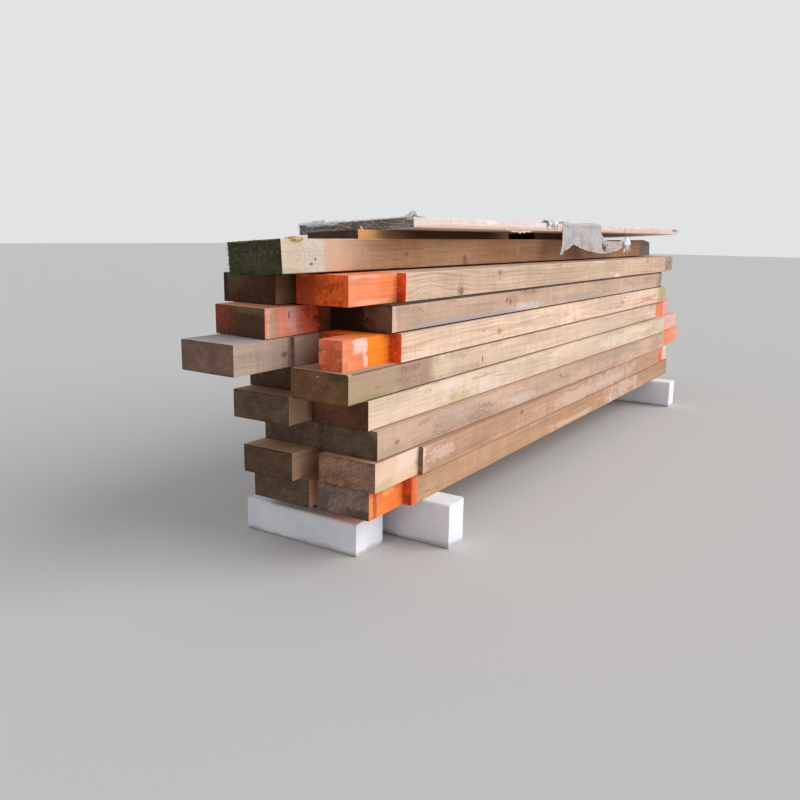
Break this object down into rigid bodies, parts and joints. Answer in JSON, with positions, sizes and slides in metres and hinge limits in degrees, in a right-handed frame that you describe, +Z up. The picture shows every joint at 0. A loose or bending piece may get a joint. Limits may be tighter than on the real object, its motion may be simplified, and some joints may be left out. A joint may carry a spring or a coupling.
{
  "type": "stack of lumber",
  "caption": "Stack of reclaimed sawn timber beams with rebated, paint-marked ends, laid in two columns on white bearer blocks, with boards and torn film on top.",
  "frame": {"origin": "middle of the stack's footprint, on the floor", "axes": "+X along the beams towards the far end, +Y from the front column towards the back one, +Z up"},
  "size_m": [3.5006, 0.603, 0.9258],
  "materials": {
    "beam_timber": "sawn softwood, weathered, painted orange at some ends",
    "board_timber": "sawn softwood board",
    "panel_timber": "pale planed edge, worn",
    "bearer_concrete": "white aerated concrete, matte",
    "torn_film": "thin milky stretch film, torn"
  },
  "bodies": {
    "root": {"beam_front_1": "beam_timber", "beam_front_2": "beam_timber", "beam_front_3": "beam_timber", "beam_front_4": "beam_timber", "beam_front_5": "beam_timber", "beam_front_6": "beam_timber", "beam_front_7": "beam_timber", "beam_front_8": "beam_timber", "beam_back_1": "beam_timber", "beam_back_2": "beam_timber", "beam_back_3": "beam_timber", "beam_back_4": "beam_timber", "beam_back_5": "beam_timber", "beam_back_6": "beam_timber", "beam_back_7": "beam_timber", "beam_back_8": "beam_timber", "beam_top": "beam_timber", "under_board_near": "board_timber", "under_board_far": "board_timber", "packing_strip": "board_timber", "top_panel": "panel_timber", "bearer_near": "bearer_concrete", "bearer_front": "bearer_concrete", "bearer_far": "bearer_concrete", "film_wrap": "torn_film", "film_scrap": "torn_film", "film_flap": "torn_film"}
  },
  "joints": []
}
